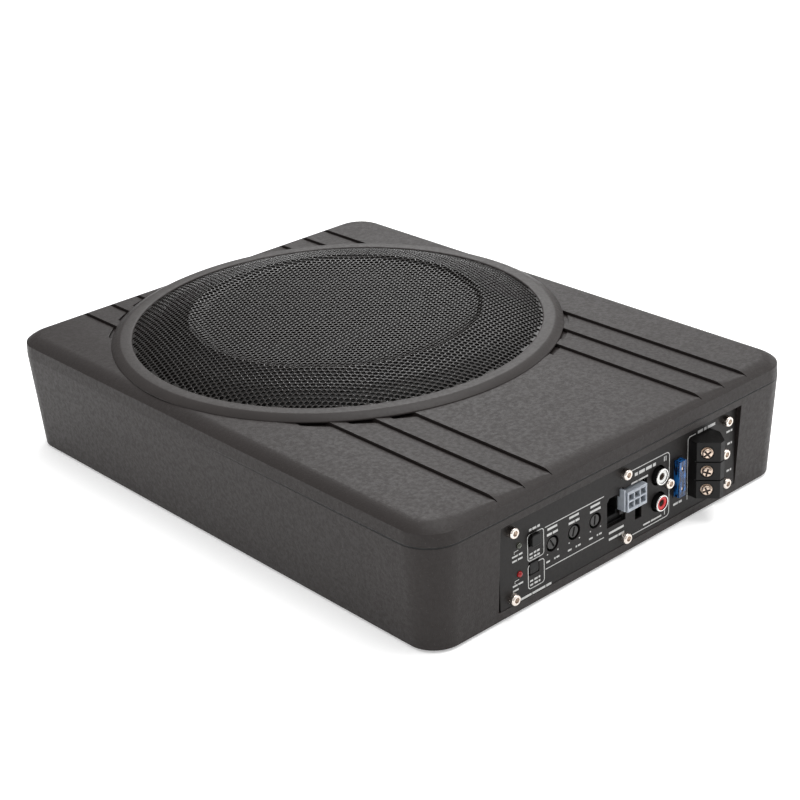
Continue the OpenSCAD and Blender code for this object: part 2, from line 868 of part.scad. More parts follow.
module header_pins() {
    cell = 4.2;
    mid_x = (header_x[0] + header_x[1]) / 2;
    mid_z = (header_z[0] + header_z[1]) / 2;
    color([0.80, 0.78, 0.70])
    for (i = [-1 : 1], k = [-0.5, 0.5])
        box([mid_x + i * cell - 0.55, panel_y + 1, mid_z + k * cell - 0.55],
            [mid_x + i * cell + 0.55, front_board_y - 2, mid_z + k * cell + 0.55]);
}

module remote_jack() {
    color([0.03, 0.03, 0.03])
    difference() {
        union() {
            box([jack_x[0], panel_back, jack_z[0]], [-0.8, front_board_y, jack_z[1]]);
            box([jack_x[0], panel_back, jack_z[0]], [jack_x[1], front_board_y, 23.4]);
        }
        box([-8.9, panel_y - 1, 24.2], [-2.4, panel_y + 11, 33.9]);
        box([-2.5, panel_y - 1, 26], [-1.4, panel_y + 11, 32]);
        box([-8, panel_y - 1, 20.3], [2.2, panel_back + 1.2, 22.6]);
    }
}

module remote_contacts() {
    color([0.80, 0.70, 0.35])
    for (i = [0 : 5])
        box([-8.9, panel_y + 3, 25.8 + i * 1.25], [-8.3, panel_y + 11, 26.3 + i * 1.25]);
}

// ---- Switches, pots and lamps ----

switch_front = panel_y + 5;

module switch_bodies() {
    color([0.10, 0.10, 0.10])
    for (z = button_z)
        difference() {
            box([button_x - 4.1, switch_front, z - 4.1], [button_x + 4.1, front_board_y, z + 4.1]);
            box([button_x - 1.6, switch_front - 1, z - 1.6], [button_x + 1.6, front_board_y - 0.5, z + 1.6]);
        }
}

// A push button whose front stands `out` in front of the panel
module push_button(z, out) {
    front = panel_y - out;
    color([0.03, 0.03, 0.03]) {
        translate([button_x, front, z])
        rotate([-90, 0, 0])
        linear_extrude(height = 4.4)
        difference() {
            square(button_w, center = true);
            for (a = [0 : 90 : 270])
                rotate(a + 45) translate([button_w * 0.75, 0]) square(1.3, center = true);
        }
        box([button_x - 1.5, front + 4.3, z - 1.5], [button_x + 1.5, front + 10.6, z + 1.5]);
    }
}

module phase_button() { push_button(button_z[0], button_travel + 0.3); }
module mode_button() { push_button(button_z[1], 0.3); }

pot_front = panel_y + 6;

module pot_bodies() {
    color([0.35, 0.36, 0.40])
    for (i = [0 : 2]) {
        x = pot_x + i * pot_pitch;
        difference() {
            box([x - 4.8, pot_front, pot_z - 5.5], [x + 4.8, front_board_y, pot_z + 5.5]);
            bar_y(x, pot_z, pot_front - 1, pot_front + 4.2, 1.95);
        }
    }
}

// A slotted knob, turned by a screwdriver, on its own shaft
module slotted_knob(i, slot_angle) {
    x = pot_x + i * pot_pitch;
    front = panel_y + 0.3;
    color([0.16, 0.16, 0.16])
    difference() {
        union() {
            bar_y(x, pot_z, front, pot_front - 0.3, knob_r);
            bar_y(x, pot_z, pot_front - 0.5, pot_front + 4, 1.9);
        }
        translate([x, front, pot_z]) rotate([0, slot_angle, 0])
            cube([0.9, 2, 2 * knob_r - 1], center = true);
    }
}

module crossover_knob() { slotted_knob(0, -32); }
module boost_knob() { slotted_knob(1, 14); }
module gain_knob() { slotted_knob(2, 7); }

module lamp(z) {
    bar_y(led_x, z, panel_y + 0.2, panel_y + 5, 1.5);
    translate([led_x, panel_y + 0.2, z]) sphere(r = 1.5, $fn = 32);
    for (s = [-1.27, 1.27])
        box([led_x - 0.25, panel_y + 4.9, z + s / 2 - 0.25],
            [led_x + 0.25, front_board_y, z + s / 2 + 0.25]);
}

module power_led() { color([0.75, 0.85, 0.70]) lamp(led_z[0]); }
module protect_led() { color([0.80, 0.02, 0.02]) lamp(led_z[1]); }

enclosure();
base_plate();
base_screws();
rubber_feet();
grille_ring();
grille_mesh();
woofer_gasket();
woofer_basket();
woofer_screws();
surround();
cone();
dust_cap();
spider();
voice_coil();
top_plate();
magnet();
pole_yoke();
woofer_terminals();
speaker_wires();
amp_board();
board_standoffs();
board_screws();
front_board();
heat_sink();
power_transistors();
filter_capacitors();
toroid_core();
toroid_winding();
driver_chips();
control_panel();
panel_screws();
terminal_block();
terminal_clamp_1();
terminal_clamp_2();
terminal_clamp_3();
terminal_screw_1();
terminal_screw_2();
terminal_screw_3();
fuse_holder();
fuse_body();
fuse_blades();
rca_housing();
rca_shells();
rca_insulator_upper();
rca_insulator_lower();
rca_contacts();
header_housing();
header_pins();
remote_jack();
remote_contacts();
switch_bodies();
phase_button();
mode_button();
pot_bodies();
crossover_knob();
boost_knob();
gain_knob();
power_led();
protect_led();
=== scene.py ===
"""Looks of the powered subwoofer: materials, fine shapes, light and camera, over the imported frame."""
import json
import math
import bmesh
import bpy
from mathutils import Matrix, Vector

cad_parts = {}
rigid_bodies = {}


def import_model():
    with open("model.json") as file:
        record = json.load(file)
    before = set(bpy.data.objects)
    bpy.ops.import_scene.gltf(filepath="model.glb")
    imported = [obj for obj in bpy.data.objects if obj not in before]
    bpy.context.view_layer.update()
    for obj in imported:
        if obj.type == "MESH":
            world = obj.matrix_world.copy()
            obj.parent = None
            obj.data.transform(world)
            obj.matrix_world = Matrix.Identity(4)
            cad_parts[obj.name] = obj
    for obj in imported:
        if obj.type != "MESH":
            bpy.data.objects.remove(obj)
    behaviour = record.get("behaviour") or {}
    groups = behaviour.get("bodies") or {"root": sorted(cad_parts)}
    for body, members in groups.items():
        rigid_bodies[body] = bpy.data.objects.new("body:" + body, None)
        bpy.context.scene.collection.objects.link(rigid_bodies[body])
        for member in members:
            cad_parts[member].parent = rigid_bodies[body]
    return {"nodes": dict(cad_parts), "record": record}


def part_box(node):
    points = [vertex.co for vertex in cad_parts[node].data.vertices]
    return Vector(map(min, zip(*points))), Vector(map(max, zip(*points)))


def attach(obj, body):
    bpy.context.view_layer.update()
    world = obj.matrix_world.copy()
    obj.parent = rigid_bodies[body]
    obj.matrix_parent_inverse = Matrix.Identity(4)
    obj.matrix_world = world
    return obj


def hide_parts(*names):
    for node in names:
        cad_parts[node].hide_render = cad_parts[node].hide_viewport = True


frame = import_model()
SLOT = {s["node"]: s["material_slot"] for s in frame["record"]["subparts"]}
BODY = {n: b for b, ns in frame["record"]["behaviour"]["bodies"].items() for n in ns}
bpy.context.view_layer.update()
MM = 0.001

# Levels read from the frame
PANEL_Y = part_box("control_panel")[0].y
DECK_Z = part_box("enclosure")[1].z
CREASE_Z = DECK_Z - 10 * MM
RING_LO, RING_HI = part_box("grille_ring")
RING_C = (RING_LO + RING_HI) / 2
RING_R = (RING_HI.x - RING_LO.x) / 2

# The perforated grille in millimetres: its holes, its sheet, and its profile as (radius, height over deck)
HOLE_PITCH = 2.965
HOLE_R = 1.17
HOLE_LIP = 0.13
LIP_DROP = 0.08
LATTICE_TILT = math.radians(12)
SHEET_THICK = 0.8
SHEET_R = 110.6
SHEET_BORDER = 0.8
DOME = [(0, 7.15), (40, 7.25), (60, 7.6), (70, 8.05), (75, 8.7), (77.3, 9.55), (78.4, 9.85),
        (79.6, 9.65), (84, 8.7), (90, 7.5), (94.5, 6.65), (98, 5.7),
        (103, 4.05), (107.5, 2.45), (109.2, 1.9), (112, 1.9)]

# How wide each small part's edges are rounded, in millimetres
ROUNDING = {
    "base_plate": 0.25, "control_panel": 0.12, "terminal_block": 0.3, "fuse_holder": 0.2,
    "rca_housing": 0.3, "header_housing": 0.2, "remote_jack": 0.2, "phase_button": 0.45,
    "mode_button": 0.45, "crossover_knob": 0.22, "boost_knob": 0.22, "gain_knob": 0.22,
    "fuse_body": 0.3, "fuse_blades": 0.1, "rca_shells": 0.12, "rca_insulator_upper": 0.2,
    "rca_insulator_lower": 0.2, "rca_contacts": 0.1, "header_pins": 0.12, "base_screws": 0.12,
    "rubber_feet": 0.3, "power_led": 0.05, "protect_led": 0.05, "woofer_screws": 0.12,
    "switch_bodies": 0.2, "pot_bodies": 0.2,
    "terminal_clamp_1": 0.15, "terminal_screw_1": 0.22, "terminal_clamp_2": 0.15,
    "terminal_screw_2": 0.22, "terminal_clamp_3": 0.15, "terminal_screw_3": 0.22,
}

# The camera: its direction and roll in degrees, its lens in millimetres and its shift, then in metres
# its distance, its offset to the right and upwards, and the point that these start from
CAMERA_AZIMUTH = -41.41
CAMERA_ELEVATION = 25.32
CAMERA_ROLL = -3.02
CAMERA_LENS = 81.57
CAMERA_SHIFT = (-0.0140, 0.0052)
CAMERA_DISTANCE = 0.95275
CAMERA_OFFSET = (0.01075, -0.00314)
CAMERA_TARGET = (0, 0, 0.033)


# ---- Materials ----

class Nodes:
    """A small writer of shader nodes for one material."""

    def __init__(self, name):
        self.mat = bpy.data.materials.new(name)
        self.mat.use_nodes = True
        self.tree = self.mat.node_tree
        self.bsdf = self.tree.nodes["Principled BSDF"]
        self.coord = self.tree.nodes.new("ShaderNodeTexCoord").outputs["Object"]

    def link(self, a, b):
        self.tree.links.new(a, b)

    def node(self, kind, **settings):
        n = self.tree.nodes.new(kind)
        for k, v in settings.items():
            setattr(n, k, v)
        return n

    def noise(self, scale, detail=3.0, rough=0.6, stretch=None):
        """A noise of that many features per metre; stretch scales the axes."""
        n = self.node("ShaderNodeTexNoise")
        n.inputs["Scale"].default_value = scale
        n.inputs["Detail"].default_value = detail
        n.inputs["Roughness"].default_value = rough
        src = self.coord
        if stretch:
            m = self.node("ShaderNodeMapping")
            m.inputs["Scale"].default_value = stretch
            self.link(src, m.inputs["Vector"])
            src = m.outputs["Vector"]
        self.link(src, n.inputs["Vector"])
        return n.outputs["Fac"]

    def ramp(self, fac, low, high, at=(0.35, 0.65)):
        """A blend from one colour to another between two values."""
        r = self.node("ShaderNodeValToRGB")
        r.color_ramp.elements[0].position = at[0]
        r.color_ramp.elements[1].position = at[1]
        r.color_ramp.elements[0].color = (*low, 1)
        r.color_ramp.elements[1].color = (*high, 1)
        self.link(fac, r.inputs["Fac"])
        return r.outputs["Color"]

    def span(self, fac, a, b, c, d):
        """Carries a value from the range a to b over to the range c to d, with smooth ends."""
        m = self.node("ShaderNodeMapRange", interpolation_type="SMOOTHSTEP")
        for key, v in zip(("From Min", "From Max", "To Min", "To Max"), (a, b, c, d)):
            m.inputs[key].default_value = v
        self.link(fac, m.inputs["Value"])
        return m.outputs["Result"]

    def math(self, op, a, b):
        m = self.node("ShaderNodeMath", operation=op)
        for i, v in enumerate((a, b)):
            if isinstance(v, (int, float)):
                m.inputs[i].default_value = v
            else:
                self.link(v, m.inputs[i])
        return m.outputs[0]

    def bump(self, height, distance, strength=1.0):
        """Adds relief on top of any that the material already has."""
        b = self.node("ShaderNodeBump")
        b.inputs["Distance"].default_value = distance
        b.inputs["Strength"].default_value = strength
        self.link(height, b.inputs["Height"])
        if self.bsdf.inputs["Normal"].is_linked:
            self.link(self.bsdf.inputs["Normal"].links[0].from_socket, b.inputs["Normal"])
        self.link(b.outputs["Normal"], self.bsdf.inputs["Normal"])

    def mix(self, fac, a, b):
        """Blends two colours, through the mix node's numbered colour sockets, whose names aren't unique."""
        colour_a, colour_b, result = 6, 7, 2
        m = self.node("ShaderNodeMix", data_type="RGBA")
        self.link(fac, m.inputs["Factor"])
        for key, v in ((colour_a, a), (colour_b, b)):
            if isinstance(v, tuple):
                m.inputs[key].default_value = (*v, 1)
            else:
                self.link(v, m.inputs[key])
        return m.outputs[result]

    def put(self, key, value):
        if isinstance(value, (int, float)):
            self.bsdf.inputs[key].default_value = value
        else:
            self.link(value, self.bsdf.inputs[key])


def shade(c, k):
    """A colour made darker or lighter."""
    return tuple(min(1, v * k) for v in c)


def coat(name, colour, rough, grain, height, metallic=0.0, vary=0.12, blotch=60, spec=0.5):
    """A painted or moulded surface: fine grain, slow mottling and a little uneven gloss."""
    n = Nodes(name)
    fine = n.noise(grain, 2, 0.5)
    slow = n.noise(blotch, 4, 0.6)
    n.put("Base Color", n.ramp(slow, shade(colour, 1 - vary), shade(colour, 1 + vary)))
    n.put("Roughness", n.span(n.noise(grain * 0.3, 3, 0.6), 0.3, 0.7, rough * 0.9, min(1, rough * 1.1)))
    n.put("Metallic", metallic)
    n.put("Specular IOR Level", spec)
    n.bump(fine, height)
    return n


def crease_shade_line(n):
    """Painted shade along the fine parting crease round the body under its top edge, which fades out along
    the sides and at one end.
    """
    xyz = n.node("ShaderNodeSeparateXYZ")
    n.link(n.coord, xyz.inputs[0])
    off = n.math("ABSOLUTE", n.math("SUBTRACT", xyz.outputs["Z"], CREASE_Z), 0)
    line = n.span(off, 0.2 * MM, 0.6 * MM, 1.0, 0.0)
    line = n.math("MULTIPLY", line, n.span(xyz.outputs["Y"], -150 * MM, 40 * MM, 1.0, 0.0))
    return n.math("MULTIPLY", line, n.span(xyz.outputs["X"], 104 * MM, 118 * MM, 1.0, 0.0))


def textured_shell(name):
    """The enclosure's moulded-in grain, with the fine parting crease round its sides: real relief in the
    bump, painted shade in the colour.
    """
    n = Nodes(name)
    fine = n.noise(1500, 2, 0.55)
    mid = n.noise(520, 3, 0.6)
    slow = n.noise(14, 5, 0.62)
    dust = n.noise(900, 2, 0.7)
    colour = n.ramp(slow, (0.0150, 0.0116, 0.0108), (0.0200, 0.0158, 0.0148), (0.25, 0.75))
    speck = n.span(dust, 0.62, 0.72, 0.0, 0.35)
    colour = n.mix(speck, colour, (0.050, 0.044, 0.042))
    line = crease_shade_line(n)
    # The crease's near-black colour is painted shade.
    n.put("Base Color", n.mix(line, colour, (0.004, 0.004, 0.004)))
    n.put("Roughness", n.span(mid, 0.3, 0.7, 0.44, 0.58))
    n.put("Specular IOR Level", 0.26)
    n.bump(mid, 0.00004)
    n.bump(fine, 0.00007)
    n.bump(n.math("SUBTRACT", 1, line), 0.0004)
    return n


def brushed(name, colour, rough=0.3, stretch=(60, 60, 1400)):
    """Plated or bare metal with faint directional scratches."""
    n = Nodes(name)
    line = n.noise(1, 4, 0.7, stretch)
    slow = n.noise(120, 3, 0.6)
    n.put("Base Color", n.ramp(slow, shade(colour, 0.9), shade(colour, 1.04)))
    n.put("Metallic", 1.0)
    n.put("Roughness", n.span(line, 0.3, 0.7, rough * 0.75, rough * 1.3))
    n.bump(line, 0.000015)
    return n


def clear_plastic(name, colour, rough, trans):
    """Tinted clear plastic; trans is the share of light that goes through."""
    n = coat(name, colour, rough, 700, 0.00002, vary=0.15, blotch=300)
    n.put("Transmission Weight", trans)
    n.put("IOR", 1.49)
    return n


def milky(name, colour):
    """Natural nylon, which light enters, so that its hollows look pale."""
    n = coat(name, colour, 0.42, 900, 0.00003, vary=0.1, blotch=250)
    n.put("Subsurface Weight", 0.8)
    n.bsdf.inputs["Subsurface Radius"].default_value = (1, 1, 1)
    n.put("Subsurface Scale", 0.002)
    return n


def fuse_plastic(name):
    """Clear blue plastic with the pale streaks of what shows through it."""
    n = Nodes(name)
    streak = n.noise(1, 3, 0.65, (900, 900, 170))
    n.put("Base Color", n.ramp(streak, (0.001, 0.009, 0.040), (0.026, 0.230, 0.700), (0.42, 0.66)))
    n.put("Roughness", n.span(n.noise(700), 0.3, 0.7, 0.10, 0.22))
    n.put("Transmission Weight", 0.35)
    n.put("IOR", 1.49)
    n.bump(n.noise(500, 2, 0.5), 0.00005)
    return n


def cloth(name, colour):
    """A coarse woven cloth stiffened with resin."""
    n = Nodes(name)
    waves = []
    for axis in ("X", "Y"):
        w = n.node("ShaderNodeTexWave", wave_type="BANDS", bands_direction=axis)
        w.inputs["Scale"].default_value = 320
        w.inputs["Distortion"].default_value = 1.0
        n.link(n.coord, w.inputs["Vector"])
        waves.append(w.outputs["Fac"])
    weave = n.math("MAXIMUM", waves[0], waves[1])
    n.put("Base Color", n.ramp(weave, shade(colour, 0.6), shade(colour, 1.1), (0.2, 0.9)))
    n.put("Roughness", 0.8)
    n.bump(weave, 0.00012)
    return n


def winding(name, colour):
    """Enamelled copper wire laid in turns."""
    n = Nodes(name)
    w = n.node("ShaderNodeTexWave", wave_type="BANDS", bands_direction="Z")
    w.inputs["Scale"].default_value = 1000
    n.link(n.coord, w.inputs["Vector"])
    n.put("Base Color", n.ramp(w.outputs["Fac"], shade(colour, 0.5), colour, (0.1, 0.7)))
    n.put("Metallic", 1.0)
    n.put("Roughness", n.span(n.noise(400), 0.3, 0.7, 0.25, 0.4))
    n.bump(w.outputs["Fac"], 0.0002)
    return n


def board(name):
    """Solder mask with the faint relief of copper tracks under it."""
    n = Nodes(name)
    v = n.node("ShaderNodeTexVoronoi", distance="CHEBYCHEV", feature="DISTANCE_TO_EDGE")
    v.inputs["Scale"].default_value = 190
    n.link(n.coord, v.inputs["Vector"])
    track = n.span(v.outputs["Distance"], 0.06, 0.09, 1.0, 0.0)
    n.put("Base Color", n.mix(track, (0.008, 0.085, 0.028), (0.02, 0.17, 0.06)))
    n.put("Roughness", n.span(n.noise(500), 0.3, 0.7, 0.28, 0.4))
    n.bump(track, 0.00004)
    return n


MATERIALS = {
    "textured_metal": textured_shell("enclosure_texture"),
    "black_steel": coat("black_steel", (0.016, 0.016, 0.017), 0.5, 1300, 0.00004),
    "black_screw": coat("black_screw", (0.018, 0.018, 0.018), 0.36, 900, 0.00003, 0.6),
    "rubber": coat("rubber", (0.012, 0.012, 0.012), 0.8, 900, 0.00006, spec=0.3),
    "ring_paint": coat("ring_plastic", (0.0200, 0.0160, 0.0148), 0.46, 1900, 0.00003,
                       vary=0.1, spec=0.28),
    "grille_paint": coat("grille_coat", (0.0044, 0.0027, 0.0018), 0.20, 1500, 0.00001,
                         vary=0.15, spec=0.24),
    "foam": coat("foam", (0.012, 0.012, 0.012), 0.95, 1100, 0.0002, spec=0.2),
    "surround_rubber": coat("surround_rubber", (0.010, 0.010, 0.010), 0.55, 600, 0.00003),
    "cone_pulp": coat("cone_pulp", (0.012, 0.012, 0.013), 0.62, 420, 0.00015, vary=0.3, blotch=180),
    "dust_cap_pulp": coat("dust_cap_pulp", (0.010, 0.010, 0.011), 0.5, 420, 0.00012,
                          vary=0.3, blotch=180),
    "spider_cloth": cloth("spider_cloth", (0.62, 0.42, 0.16)),
    "copper": winding("copper_wire", (0.78, 0.36, 0.15)),
    "zinc_steel": brushed("zinc_steel", (0.56, 0.57, 0.58), 0.35),
    "ferrite": coat("ferrite", (0.035, 0.035, 0.038), 0.6, 700, 0.0001, 0.3, 0.25, 90),
    "phenolic": coat("phenolic", (0.20, 0.10, 0.04), 0.45, 800, 0.00003, vary=0.25),
    "wire_jacket": coat("wire_jacket", (0.30, 0.012, 0.012), 0.42, 800, 0.00002),
    "circuit_board": board("circuit_board"),
    "brass": brushed("brass", (0.80, 0.58, 0.25), 0.28),
    "zinc_screw": brushed("zinc_screw", (0.68, 0.68, 0.66), 0.3),
    "bare_aluminium": brushed("bare_aluminium", (0.76, 0.77, 0.78), 0.36, (1400, 60, 60)),
    "chip_epoxy": coat("chip_epoxy", (0.012, 0.012, 0.012), 0.6, 1500, 0.00004),
    "capacitor_sleeve": coat("capacitor_sleeve", (0.012, 0.018, 0.10), 0.3, 300, 0.00002),
    "toroid_paint": coat("toroid_paint", (0.62, 0.50, 0.04), 0.4, 500, 0.00005),
    "panel_paint": coat("panel_paint", (0.0088, 0.0074, 0.0070), 0.46, 2100, 0.00002,
                        vary=0.1, blotch=45, spec=0.2),
    "bright_screw": brushed("bright_screw", (0.76, 0.69, 0.63), 0.22, (900, 900, 900)),
    "black_nylon": coat("black_nylon", (0.0052, 0.0048, 0.0047), 0.45, 1600, 0.00003, spec=0.22),
    "nickel": brushed("nickel", (0.62, 0.50, 0.41), 0.26, (900, 900, 900)),
    "blue_fuse": fuse_plastic("blue_fuse"),
    "bright_nickel": brushed("bright_nickel", (0.88, 0.87, 0.85), 0.2, (900, 60, 900)),
    "white_insert": coat("white_insert", (0.80, 0.80, 0.78), 0.3, 700, 0.00002, vary=0.04),
    "red_insert": coat("red_insert", (0.55, 0.010, 0.014), 0.3, 700, 0.00002, vary=0.12),
    "white_nylon": milky("white_nylon", (0.31, 0.335, 0.37)),
    "tinned_pin": brushed("tinned_pin", (0.72, 0.71, 0.67), 0.3),
    "gold_pin": brushed("gold_pin", (0.86, 0.66, 0.26), 0.25),
    "switch_case": coat("switch_case", (0.02, 0.02, 0.02), 0.5, 900, 0.00003),
    "button_plastic": coat("button_plastic", (0.0022, 0.0021, 0.0021), 0.38, 900, 0.00001, spec=0.22),
    "pot_case": coat("pot_case", (0.03, 0.04, 0.09), 0.45, 900, 0.00003),
    "knob_plastic": coat("knob_plastic", (0.0215, 0.0200, 0.0190), 0.4, 900, 0.00003, spec=0.4),
    "clear_lens": clear_plastic("clear_lens", (0.12, 0.13, 0.10), 0.10, 0.5),
    "red_lens": clear_plastic("red_lens", (0.42, 0.004, 0.006), 0.15, 0.3),
    # Painted shade: a darker copy of black nylon for the remote jack.
    "shaded_nylon": coat("shaded_nylon", (0.0035, 0.0035, 0.0035), 0.55, 1600, 0.00003, spec=0.1),
    # Painted shade and painted dark reflection for the hollows of screw sockets, screw slots and the phono
    # contacts.
    "painted_socket_shade": coat("painted_socket_shade", (0.055, 0.034, 0.024), 0.5, 900, 0.00001, spec=0.4),
    "white_print": coat("white_print", (0.47, 0.47, 0.46), 0.5, 1500, 0.00001, vary=0.12, blotch=400),
}


# A node whose surface looks unlike the rest of its slot: painted shade on the remote jack and inside the
# phono sockets' contacts
LOOK = {"remote_jack": "shaded_nylon", "rca_contacts": "painted_socket_shade"}


def material(slot):
    """The finished material of a slot or a special look."""
    return MATERIALS[slot].mat


# ---- Mesh helpers ----

def place(obj, node, replaces=True):
    """Gives a new piece its material and the body it rides on, and hides the CAD node that it stands for
    when it replaces it.
    """
    obj.data.materials.clear()
    obj.data.materials.append(material(LOOK.get(node, SLOT[node])))
    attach(obj, BODY[node])
    if replaces:
        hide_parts(node)
    return obj


def smooth(mesh, degrees=32):
    """Smooth shading, broken at edges sharper than the angle."""
    for p in mesh.polygons:
        p.use_smooth = True
    mesh.set_sharp_from_angle(angle=math.radians(degrees))


def add(name, bm, degrees=32):
    """Makes an object in the scene from the mesh being built."""
    bmesh.ops.recalc_face_normals(bm, faces=bm.faces)
    mesh = bpy.data.meshes.new(name)
    bm.to_mesh(mesh)
    bm.free()
    smooth(mesh, degrees)
    obj = bpy.data.objects.new(name, mesh)
    bpy.context.scene.collection.objects.link(obj)
    return obj


def weighted(obj):
    """Keeps large faces flat in the shading next to rounded edges."""
    m = obj.modifiers.new("even_normals", "WEIGHTED_NORMAL")
    m.keep_sharp = True
    m.weight = 80


def refined(node, width, degrees=35):
    """A copy of a CAD node with its edges rounded over a width, standing for the node."""
    bm = bmesh.new()
    bm.from_mesh(frame["nodes"][node].data)
    bmesh.ops.remove_doubles(bm, verts=bm.verts, dist=2e-6)
    bmesh.ops.dissolve_limit(bm, angle_limit=math.radians(0.6), verts=bm.verts, edges=bm.edges)
    sharp = [e for e in bm.edges if len(e.link_faces) == 2
             and e.calc_face_angle(0) > math.radians(degrees)]
    bmesh.ops.bevel(bm, geom=sharp, offset=width, offset_type="OFFSET", segments=2,
                    profile=0.5, affect="EDGES", clamp_overlap=True)
    obj = add(node + "_fine", bm, 40)
    weighted(obj)
    return place(obj, node)


def lathe(name, profile, centre, segments):
    """A closed profile of (radius, height) points, in metres, turned about an upright axis."""
    bm = bmesh.new()
    rings = []
    for r, h in profile:
        rings.append([bm.verts.new((r * math.cos(2 * math.pi * k / segments),
                                    r * math.sin(2 * math.pi * k / segments), h))
                      for k in range(segments)])
    for a, b in zip(rings, rings[1:] + rings[:1]):
        for k in range(segments):
            j = (k + 1) % segments
            bm.faces.new((a[k], a[j], b[j], b[k]))
    bm.transform(Matrix.Translation(centre))
    return add(name, bm, 40)


# ---- The enclosure, ring and grille ----

def make_enclosure():
    """The cast shell, with its edges just broken."""
    refined("enclosure", 0.25 * MM, 38)


def make_ring():
    """The trim ring: a sloped flank, a rolled shoulder, a flat top and a stepped lip inside."""
    r, top, deck = RING_R, RING_HI.z, DECK_Z
    inner = 109.0 * MM
    shoulder = deck + (top - deck) * 0.93
    lip = top - 0.7 * MM
    groove = r - 7 * MM
    points = [(r, deck - 0.3 * MM), (r, deck + 0.12 * MM), (r - 0.25 * MM, deck + 0.5 * MM)]
    for k in range(7):
        t = k / 6
        points.append((r - (4.2 + 0.9 * t) * MM, shoulder + 0.2 * MM * math.sin(t * math.pi / 2)))
    points += [(r - 5.6 * MM, top), (inner + 0.8 * MM, top), (inner + 0.3 * MM, top - 0.1 * MM),
               (inner, top - 0.4 * MM), (inner, lip), (inner + 2.2 * MM, lip),
               (inner + 2.2 * MM, deck - 2 * MM), (groove, deck - 2 * MM), (groove, deck - 0.3 * MM)]
    ring = lathe("grille_ring_fine", points, Vector((RING_C.x, RING_C.y, 0)), 300)
    place(ring, "grille_ring")


def dome_height(r):
    """Height of the grille's upper face above the deck at a radius, all in millimetres."""
    for (ra, ha), (rb, hb) in zip(DOME, DOME[1:]):
        if r <= rb:
            return ha + (hb - ha) * (r - ra) / (rb - ra)
    return DOME[-1][1]


def dome_slope(r):
    """Rise of the grille per millimetre of radius, taken across a short step."""
    step = 0.2
    return (dome_height(r + step) - dome_height(max(r - step, 0))) / (2 * step)


class GrillePlan:
    """The perforated sheet laid flat: shared points, faces round each hole, and the points on hole rims."""

    def __init__(self, sides):
        self.sides = sides
        self.points, self.faces = [], []
        self.index, self.rims = {}, set()

    def point(self, x, y):
        """The number of the point at a place, which is pulled in to the sheet's round border."""
        r = math.hypot(x, y)
        if r > SHEET_R:
            x, y = x * SHEET_R / r, y * SHEET_R / r
        key = (round(x, 3), round(y, 3))
        if key not in self.index:
            self.index[key] = len(self.points)
            self.points.append((x, y))
        return self.index[key]

    def face(self, loop):
        """Adds a face, unless too few of its points are left once doubled ones are dropped."""
        loop = list(dict.fromkeys(loop))
        if len(loop) > 2:
            self.faces.append(loop)

    def circle(self, c, radius):
        """Places round a hole."""
        return [(c.x + radius * math.cos(a), c.y + radius * math.sin(a)) for a in self.angles()]

    def angles(self):
        """Directions from a cell's centre, with the hexagon's corners among them."""
        return [LATTICE_TILT + math.pi / 6 + 2 * math.pi * k / self.sides for k in range(self.sides)]

    def cell(self, c):
        """One hexagon of the sheet, with a hole in it unless it is at the border."""
        outline = []
        for k, a in enumerate(self.angles()):
            reach = HOLE_PITCH / math.sqrt(3) if k % (self.sides // 6) == 0 else HOLE_PITCH / 2
            outline.append(self.point(c.x + reach * math.cos(a), c.y + reach * math.sin(a)))
        if c.length > SHEET_R - HOLE_R - SHEET_BORDER:
            self.face(outline)
            return
        ring = [self.point(*p) for p in self.circle(c, HOLE_R)]
        lips = [self.point(*p) for p in self.circle(c, HOLE_R + HOLE_LIP)]
        self.rims.update(ring)
        for k in range(self.sides):
            m = (k + 1) % self.sides
            self.face([outline[k], outline[m], lips[m], lips[k]])
            self.face([lips[k], lips[m], ring[m], ring[k]])

    def walls(self):
        """Faces that join the upper sheet to the lower one round every hole and the border."""
        edges = dict.fromkeys((a, b) for f in self.faces for a, b in zip(f, f[1:] + f[:1]))
        count = len(self.points)
        return [[b, a, a + count, b + count] for a, b in edges if (b, a) not in edges]


def plan_of_grille():
    """Every cell of the tilted hexagonal lattice that falls on the sheet."""
    plan = GrillePlan(12)
    across = Vector((math.cos(LATTICE_TILT), math.sin(LATTICE_TILT))) * HOLE_PITCH
    along = Vector((math.cos(LATTICE_TILT + math.pi / 3), math.sin(LATTICE_TILT + math.pi / 3))) * HOLE_PITCH
    n = int(SHEET_R / HOLE_PITCH) + 3
    for i in range(-2 * n, 2 * n):
        for j in range(-2 * n, 2 * n):
            c = across * i + along * j
            if c.length <= SHEET_R + HOLE_PITCH / math.sqrt(3):
                plan.cell(c)
    return plan


def make_grille():
    """The domed sheet with its round holes, as real geometry."""
    plan = plan_of_grille()
    deck = DECK_Z / MM
    top, low = [], []
    for i, (x, y) in enumerate(plan.points):
        s = dome_slope(math.hypot(x, y))
        r = max(math.hypot(x, y), 1e-6)
        z = deck + dome_height(r)
        drop = SHEET_THICK / math.hypot(1, s)
        top.append((x, y, z - (LIP_DROP if i in plan.rims else 0)))
        low.append((x + drop * s * x / r, y + drop * s * y / r, z - drop))
    centre = Vector((RING_C.x, RING_C.y, 0))
    underside = [[v + len(top) for v in reversed(f)] for f in plan.faces]
    mesh = bpy.data.meshes.new("grille_sheet")
    mesh.from_pydata([Vector(p) * MM + centre for p in top + low], [], plan.faces + underside + plan.walls())
    mesh.validate()
    smooth(mesh, 50)
    obj = bpy.data.objects.new("grille_sheet", mesh)
    bpy.context.scene.collection.objects.link(obj)
    place(obj, "grille_mesh")


# ---- Printed marks on the panel ----

def quarter(x, z, r, start, end):
    """Nine points of an arc, with its angles in degrees."""
    turns = [math.radians(start + (end - start) * k / 8) for k in range(9)]
    return [(x + r * math.cos(a), z + r * math.sin(a)) for a in turns]


